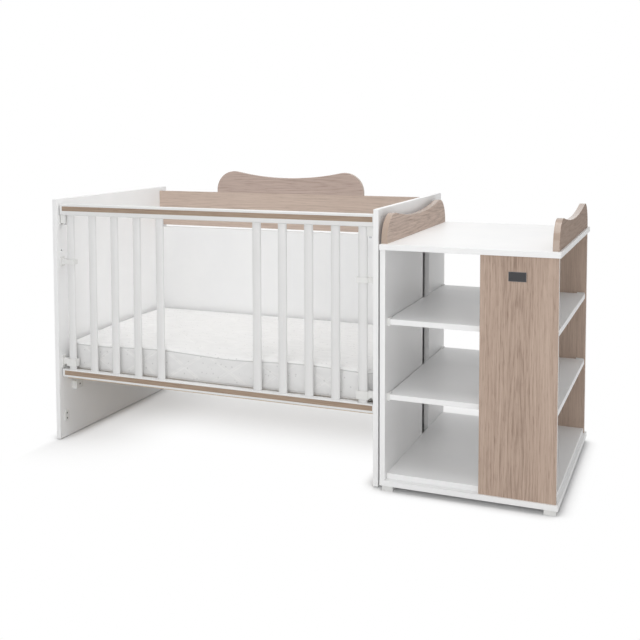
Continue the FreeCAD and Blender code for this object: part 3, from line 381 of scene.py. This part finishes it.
sideFittings = ["low_guide", "middle_guide", "catch_housing", "conversion_plate", "strike_plate"]
wear(whiteBoardFinish(), "left_end_panel", "right_end_panel", "back_panel", "unit_base", "unit_top",
     "unit_left_front_board", "unit_left_rear_board", "bottom_shelf", "middle_shelf", "upper_shelf")
wear(whitePaintFinish("white_paint_rails", railLines), "top_rail", "bottom_rail")
wear(whitePaintFinish("white_paint_bars", barLines), *[name for name in nodes if name.startswith("slat_")])
wear(plasticFinish(), "panel_glides", "base_brackets", "unit_feet", "middle_shelf_clips", "upper_shelf_clips",
     "join_spacers", *[f"{side}_{fitting}" for side in ("left", "right") for fitting in sideFittings])
wear(steelFinish(zinc), "panel_bolts", "barrel_nuts", "left_slide_bolt", "right_slide_bolt", "join_pins")
wear(steelFinish(browned), "fitting_screws")
wear(bareWoodFinish("base_wood_long", longWood), "base_front_rail", "base_rear_rail")
wear(bareWoodFinish("base_wood_cross", crossWood), "base_slats", "base_end_rails")
wear(bareWoodFinish("dowel_wood", dowelWood), "crest_dowels", "unit_dowels")
wear(badgeFinish(), "badge_plate")

# The ash boards: way of the grain, heart of the trunk as shares of the board's box, axis across the face,
# contrast of the print and a tint. The tint gives the board's own tone, and on most boards painted light and
# shade as well: lighter on the rear board, the back board, the crest and the left guard, darker on the right
# guard
ashBoards = [
    dict(finish="ash_front_board", piece="unit_brown_front_board", grain="Z", heart=(0.50, 0.12, 0.10),
         faceAxis="Y", contrast=1.1, toneAndLightTint=tone(0.99, 0.97, 0.955)),
    dict(finish="ash_rear_board", piece="unit_brown_rear_board", grain="Z", heart=(0.25, 0.12, 0.45),
         faceAxis="Y", contrast=0.9, toneAndLightTint=tone(1.08, 1.07, 1.06)),
    dict(finish="ash_back_board", piece="back_top_board", grain="X", heart=(0.58, 0.05, 0.35),
         faceAxis="Y", contrast=0.65, toneAndLightTint=tone(1.18, 1.22, 1.26)),
    dict(finish="ash_crest", piece="crest_board", grain="X", heart=(0.30, 0.20, 0.45),
         faceAxis="Y", contrast=0.75, toneAndLightTint=tone(1.05, 1.07, 1.14)),
    dict(finish="ash_left_guard", piece="left_guard", grain="Y", heart=(0.8, 0.25, 0.4),
         faceAxis="X", contrast=1.0, toneAndLightTint=tone(1.22, 1.27, 1.33)),
    dict(finish="ash_right_guard", piece="right_guard", grain="Y", heart=(0.8, 0.65, 0.5),
         faceAxis="X", contrast=0.8, toneAndLightTint=tone(0.88, 0.86, 0.85)),
]
stripTint = tone(0.78, 0.76, 0.70)
for name in ("top_rail_strip", "bottom_rail_strip"):
    ashBoards.append(dict(finish="ash_" + name, piece=name, grain="X", heart=(0.4, 0.5, 3.0),
                          faceAxis="Y", contrast=0.8, toneAndLightTint=stripTint))
for board in ashBoards:
    wear(ashFinish(board), board["piece"])
print("finishes set on the boards and fittings")


# Mattress: a foam block in a quilted cover, swollen between its stitch lines by a cloth simulation
mattress = dict(
    corner=0.022, cornerSteps=6, edge=0.006, edgeSteps=4, inset=0.004, voxel=0.009, edgeHeight=0.105,
    rise=0.008, crown=0.006, wave=0.0045, waveLength=0.52, waveStart=-0.196,    # shape of the top
    quilt=0.082, sideQuilt=0.054, quiltStart=-0.019, stitchWidth=0.006, fill=0.9,
    quality=5, mass=0.2, tension=12, compression=6, shear=4, bending=0.3,       # the cloth
    pressure=4.0, frames=20, cap=0.005,                                         # its swelling
    level=1e-6, sharp=1.0, still=1e-9,      # least height, angle and move that count
)


def meshOf(name, bm):
    mesh = bpy.data.meshes.new(name)
    bm.to_mesh(mesh)
    bm.free()
    return mesh


def newPiece(name, data):
    piece = bpy.data.objects.new(name, data)
    scene.collection.objects.link(piece)
    return piece


def rounded(bm, edges, offset, steps):
    bmesh.ops.bevel(bm, geom=edges, offset=offset, offset_type="OFFSET", segments=steps, profile=0.5,
                    affect="EDGES", material=-1)


def roundedBlock(low, high):
    p = mattress
    size = high - low
    bm = bmesh.new()
    bmesh.ops.create_cube(bm, size=1.0)
    bmesh.ops.scale(bm, vec=size, verts=bm.verts)
    bmesh.ops.translate(bm, vec=(low + high) / 2, verts=bm.verts)
    upright = [e for e in bm.edges if abs(e.verts[0].co.z - e.verts[1].co.z) > size.z / 2]
    rounded(bm, upright, p["corner"], p["cornerSteps"])
    rims = [e for e in bm.edges if abs(e.verts[0].co.z - e.verts[1].co.z) < p["level"]
            and len(e.link_faces) == 2 and e.calc_face_angle() > p["sharp"]]
    rounded(bm, rims, p["edge"], p["edgeSteps"])
    return bm


def topRise(x, y, low, high):
    # how far the top stands over its front edge: higher at the back, crowned, and waving along the length
    p = mattress
    share = min(max((y - low.y) / (high.y - low.y), 0.0), 1.0)
    turn = 2 * math.pi * (x - (low.x + high.x) / 2 - p["waveStart"]) / p["waveLength"]
    wave = p["wave"] * math.cos(turn) * (1 - share)
    return p["rise"] * share + p["crown"] * 4 * share * (1 - share) + wave


def quiltSpot(point, low, high):
    # place on the cover's diamond pattern, counted in half diamonds, and the way down from the top
    p = mattress
    down = max(high.z - point.z, 0.0)
    fall = down / p["sideQuilt"]
    u = (point.x - (low.x + high.x) / 2 - p["quiltStart"]) / p["quilt"]
    v = (point.y - low.y) / p["quilt"]
    if point.y < low.y:
        v -= fall
    elif point.y > high.y:
        v += fall
    elif point.x < low.x:
        u -= fall
    elif point.x > high.x:
        u += fall
    return (u, v, down)


def stitchDistance(spot):
    u, v = spot[:2]
    return min(abs((u + side * v + 1) % 2 - 1) for side in (1, -1)) * mattress["quilt"] / math.sqrt(2)


def simulateSwelling(piece, spots, footHeight):
    p = mattress
    stitched = piece.vertex_groups.new(name="stitched")
    pinned = [vertex.index for vertex, spot in zip(piece.data.vertices, spots)
              if vertex.co.z < footHeight or stitchDistance(spot) < p["stitchWidth"]]
    stitched.add(pinned, 1.0, "REPLACE")
    swelling = piece.modifiers.new("swelling", "CLOTH")
    cloth = swelling.settings
    cloth.quality = p["quality"]
    cloth.mass = p["mass"]
    cloth.tension_stiffness = p["tension"]
    cloth.compression_stiffness = p["compression"]
    cloth.shear_stiffness = p["shear"]
    cloth.bending_stiffness = p["bending"]
    cloth.use_pressure = True
    cloth.uniform_pressure_force = p["pressure"]
    cloth.vertex_group_mass = "stitched"
    cloth.effector_weights.gravity = 0
    swelling.point_cache.frame_start = 1
    swelling.point_cache.frame_end = p["frames"]
    for step in range(1, p["frames"] + 1):
        scene.frame_set(step)
    swollen = piece.evaluated_get(bpy.context.evaluated_depsgraph_get())
    moves = [after.co - before.co for after, before in zip(swollen.data.vertices, piece.data.vertices)]
    piece.modifiers.remove(swelling)
    scene.frame_set(1)
    piece.vertex_groups.remove(stitched)
    most = max(move.length for move in moves)
    print("mattress swells by up to", round(most * 1000, 1), "mm before the cap")
    for vertex, move in zip(piece.data.vertices, moves):
        vertex.co += move * min(1.0, p["cap"] / max(move.length, p["still"]))


def makeMattress():
    p = mattress
    low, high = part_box("mattress")
    start = low + Vector((p["inset"], p["inset"], 0))
    end = Vector((high.x - p["inset"], high.y - p["inset"], low.z + p["edgeHeight"] - p["inset"]))
    block = newPiece("mattress_block", meshOf("mattress_block", roundedBlock(start, end)))
    remesh = block.modifiers.new("skin", "REMESH")
    remesh.mode = "VOXEL"
    remesh.voxel_size = p["voxel"]
    skin = bpy.data.meshes.new_from_object(block.evaluated_get(bpy.context.evaluated_depsgraph_get()))
    bpy.data.objects.remove(block)
    skin.name = "mattress_cover"
    piece = newPiece("mattress_cover", skin)
    flatLow = start + Vector((p["edge"], p["edge"], 0))
    flatHigh = end - Vector((p["edge"], p["edge"], 0))
    spots = [quiltSpot(vertex.co, flatLow, flatHigh) for vertex in skin.vertices]
    for vertex in skin.vertices:
        rise = topRise(vertex.co.x, vertex.co.y, start, end)
        vertex.co.z += rise * (vertex.co.z - start.z) / (end.z - start.z)
    simulateSwelling(piece, spots, start.z + p["edge"])
    pattern = skin.attributes.new("quilt", "FLOAT_VECTOR", "POINT")
    pattern.data.foreach_set("vector", [number for spot in spots for number in spot])
    skin.materials.clear()
    skin.materials.append(coverFinish())
    skin.polygons.foreach_set("use_smooth", [True] * len(skin.polygons))
    soft = piece.modifiers.new("soft", "SUBSURF")
    soft.levels = 1
    soft.render_levels = 1
    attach(piece, "mattress")
    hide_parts("mattress")


# Quilted cover: soft knit with thread lines along the quilting, a seam round the top, a tape near the foot
# and a scatter of small grey dots. Painted shade darkens the pucker hollows, and the diamond fields away from
# the stitch lines, more on the sides than on the top
cover = dict(
    # the shade colour paints shade into the pucker hollows; the field colour paints shade into the diamond
    # fields, with a smaller share on the top than on the sides
    white=tone(0.865, 0.862, 0.855), shade=tone(0.820, 0.818, 0.812), shadeFull=0.3, shadeNone=0.62,
    fieldShade=tone(0.755, 0.755, 0.752), fieldShadeMark=0.5, ridgeCore=0.003, ridge=0.010,
    topShare=0.3, topDown=0.004, sideDown=0.012,
    dot=tone(0.56, 0.56, 0.555), dotMark=0.55, dotPitch=0.020, dotCore=0.00182, dotSize=0.00338, dotStray=0.8,
    seam=tone(0.60, 0.60, 0.59), seamDown=0.0075, seamCore=0.0007, seamWidth=0.0014, tapeDown=0.089,
    tapeMark=0.5, threadCore=0.00064, threadWidth=0.0016, threadMark=0.12,
    puckers=(22, 75, 60), puckerRough=0.15, rough=0.82, gloss=0.2, sheen=0.15,
    relief=0.0016, reliefStrength=0.8, puckerRelief=0.6, threadRelief=0.4, seamRelief=0.5,
    knit=150.0, knitSway=1.2, knitRelief=0.0003, knitStrength=0.5,
)


def coverFinish():
    p = cover
    f = newFinish("quilted_cover")
    spot = f.place()
    u, v, down = f.parts(f.node("Attribute", {"attribute_name": "quilt"}, None, "Vector"))
    toLine = [abs(f.math("FLOORED_MODULO", line + 1, 2.0) - 1) for line in (u + v, u - v)]
    distance = f.math("MINIMUM", *toLine) * (mattress["quilt"] / math.sqrt(2))
    thread = f.within(distance, p["threadCore"], p["threadWidth"])
    seam, tape = (f.within(abs(down - p[name]), p["seamCore"], p["seamWidth"])
                  for name in ("seamDown", "tapeDown"))
    knit = f.node("TexWave", {"wave_type": "BANDS", "bands_direction": "DIAGONAL"},
                  {"Vector": spot, "Scale": p["knit"], "Distortion": p["knitSway"], "Detail": 1.0})
    puckers = f.fibres(spot, p["puckers"], detail=3.0, rough=0.55)
    toDot = f.node("TexVoronoi", {"feature": "F1"},
                   {"Vector": spot, "Scale": 1 / p["dotPitch"], "Randomness": p["dotStray"]})
    dot = f.within(toDot, p["dotCore"] / p["dotPitch"], p["dotSize"] / p["dotPitch"])
    # painted shade in the diamond fields away from the stitch lines: a smaller share on the top, the full
    # share down the sides
    side = p["topShare"] + f.smooth(down, p["topDown"], p["sideDown"]) * (1 - p["topShare"])
    fieldShade = f.smooth(distance, p["ridgeCore"], p["ridge"]) * side
    sewn = f.math("MAXIMUM", seam, f.math("MAXIMUM", thread * p["threadMark"], tape * p["tapeMark"]))
    # painted shade: darker where the puckers sink
    colour = f.mix(f.smooth(puckers, p["shadeFull"], p["shadeNone"]), p["shade"], p["white"])
    colour = f.mix(fieldShade * p["fieldShadeMark"], colour, p["fieldShade"])
    colour = f.mix(dot * p["dotMark"], colour, p["dot"])
    colour = f.mix(sewn, colour, p["seam"])
    rough = p["rough"] + (puckers - 0.5) * p["puckerRough"]
    relief = f.bump(puckers * p["puckerRelief"] - thread * p["threadRelief"] - seam * p["seamRelief"], p)
    weave = f.node("Bump", None, {"Height": knit, "Distance": p["knitRelief"], "Strength": p["knitStrength"],
                                  "Normal": relief})
    return f.surface({"Base Color": colour, "Roughness": rough, "Normal": weave,
                      "Specular IOR Level": p["gloss"], "Sheen Weight": p["sheen"]})


makeMattress()
print("mattress made")


# Camera at the photograph's viewing angle: angles in degrees, focal length and centre in pixels
camera = dict(
    spot=(1.1766, -3.0700, 1.0733), yaw=23.94, pitch=3.78, roll=-0.32, focal=976.2, centre=(270, 190),
    picture=640, sensor=36,
)


def makeCamera():
    p = camera
    yaw, pitch, roll = (math.radians(p[name]) for name in ("yaw", "pitch", "roll"))
    forward = Vector((-math.sin(yaw) * math.cos(pitch), math.cos(yaw) * math.cos(pitch), -math.sin(pitch)))
    level = Vector((math.cos(yaw), math.sin(yaw), 0))
    above = level.cross(forward)
    right = level * math.cos(roll) + above * math.sin(roll)
    up = above * math.cos(roll) - level * math.sin(roll)
    data = bpy.data.cameras.new("camera")
    data.sensor_width = p["sensor"]
    data.lens = p["focal"] / p["picture"] * p["sensor"]
    data.shift_x = 0.5 - p["centre"][0] / p["picture"]
    data.shift_y = p["centre"][1] / p["picture"] - 0.5
    eye = newPiece("camera", data)
    eye.matrix_world = Matrix.Translation(p["spot"]) @ Matrix((right, up, -forward)).transposed().to_4x4()
    scene.camera = eye


# Pale floor. What the camera sees of it is partly plain white, so that shadows are light: wholly white away
# from the inset footprint, less so beside the left panel, and not at all where something stands on it
floor = dict(
    size=16.0, seen=0.90, bounced=0.84, whiteShare=0.60, frontInset=0.60, rightInset=0.40, clearAt=0.40,
    contact=0.065, contactFull=0.45, contactNone=0.95, contactRays=16,    # close to the feet and panels
    leftShade=0.62, leftStart=-0.13, leftReach=0.40, leftBorder=0.02,     # beside the left panel, along X
    frontFrom=-0.62, frontFull=-0.30, rearFull=0.38, rearTo=0.48,         # and how far that goes along Y
)


def seenRays(f):
    rays = ("Is Camera Ray", "Is Glossy Ray", "Is Transmission Ray")
    direct, glossy, through = f.node("LightPath", out=rays)
    return f.math("MAXIMUM", f.math("MAXIMUM", direct, glossy), through)


def makeFloor():
    p = floor
    f = newFinish("floor_pale")
    low = cadBox[0] + Vector((0, p["frontInset"], 0))
    high = cadBox[1] - Vector((p["rightInset"], 0, 0))
    middle = (low + high) / 2
    half = (high - low) / 2
    x, y = f.parts(f.place())[:2]
    pastX = f.math("MAXIMUM", abs(x - middle.x) - half.x, 0.0)
    pastY = f.math("MAXIMUM", abs(y - middle.y) - half.y, 0.0)
    clear = f.smooth((pastX * pastX + pastY * pastY) ** 0.5, 0.0, p["clearAt"])
    unblocked = f.node("AmbientOcclusion", {"samples": p["contactRays"]}, {"Distance": p["contact"]}, "AO")
    apart = f.smooth(unblocked, p["contactFull"], p["contactNone"])
    inward = x - low.x
    inside = f.smooth(inward, -p["leftBorder"], p["leftBorder"])
    beside = inside * f.within(inward, p["leftStart"], p["leftReach"])
    along = f.smooth(y, p["frontFrom"], p["frontFull"]) * f.within(y, p["rearFull"], p["rearTo"])
    plain = (p["whiteShare"] + clear * (1 - p["whiteShare"])) * apart * (1 - beside * along * p["leftShade"])
    seen = f.node("BsdfDiffuse", None, {"Color": grey(p["seen"])})
    bounced = f.node("BsdfDiffuse", None, {"Color": grey(p["bounced"])})
    lit = f.node("MixShader", None, {0: f.node("LightPath", out="Is Camera Ray"), 1: bounced, 2: seen})
    white = f.node("Emission", None, {"Color": grey(1), "Strength": 1.0})
    mixed = f.node("MixShader", None, {0: plain * seenRays(f), 1: lit, 2: white})
    f.node("OutputMaterial", None, {"Surface": mixed})
    bm = bmesh.new()
    bmesh.ops.create_grid(bm, x_segments=1, y_segments=1, size=p["size"])
    ground = newPiece("floor", meshOf("floor", bm))
    ground.data.materials.append(f.owner)


# Soft light from all round, dimmer from both sides than from the front, back and top
surround = dict(fill=0.79, rightDrop=0.45, leftDrop=0.6, sideFrom=0.1, sideFull=0.9)


def makeSurround():
    p = surround
    world = bpy.data.worlds.new("surround")
    scene.world = world
    f = Finish(world)
    toRight = f.parts(f.node("TexCoord", out="Generated"))[0]
    right = f.smooth(toRight, p["sideFrom"], p["sideFull"])
    left = f.smooth(0 - toRight, p["sideFrom"], p["sideFull"])
    drop = right * p["rightDrop"] + left * p["leftDrop"]
    full, dark, white = (f.node("Background", None, {"Color": grey(1), "Strength": strength})
                         for strength in (p["fill"], 0.0, 1.0))
    fill = f.node("MixShader", None, {0: drop, 1: full, 2: dark})
    mixed = f.node("MixShader", None, {0: seenRays(f), 1: fill, 2: white})
    f.node("OutputWorld", None, {"Surface": mixed})


# Two wide soft boxes, in front and overhead, and a weak one over the unit that shines on the left panel;
# power in watts and spread in degrees
frontLight = dict(
    spot=(0.55, -3.4, 1.25), target=(0.0, 0.0, 0.45), width=1.4, height=2.2, power=24.0, spread=180,
)
overheadLight = dict(
    spot=(0.35, -0.35, 3.0), target=(0.35, -0.35, 0.0), width=0.90, height=2.4, power=24.0, spread=180,
)
sideLight = dict(
    spot=(0.9, -0.3, 1.9), target=(-0.82, 0.0, 0.55), width=0.5, height=0.5, power=0.6, spread=56,
)


def makeLight(name, p):
    data = bpy.data.lights.new(name, "AREA")
    data.shape = "RECTANGLE"
    data.size = p["width"]
    data.size_y = p["height"]
    data.energy = p["power"]
    data.spread = math.radians(p["spread"])
    lamp = newPiece(name, data)
    lamp.location = p["spot"]
    aim = Vector(p["target"]) - Vector(p["spot"])
    lamp.rotation_euler = aim.to_track_quat("-Z", "Y").to_euler()
    lamp.visible_camera = False


makeCamera()
makeFloor()
makeSurround()
makeLight("front_light", frontLight)
makeLight("overhead_light", overheadLight)
makeLight("side_light", sideLight)
scene.view_settings.view_transform = "Standard"
print("camera, floor and light set")
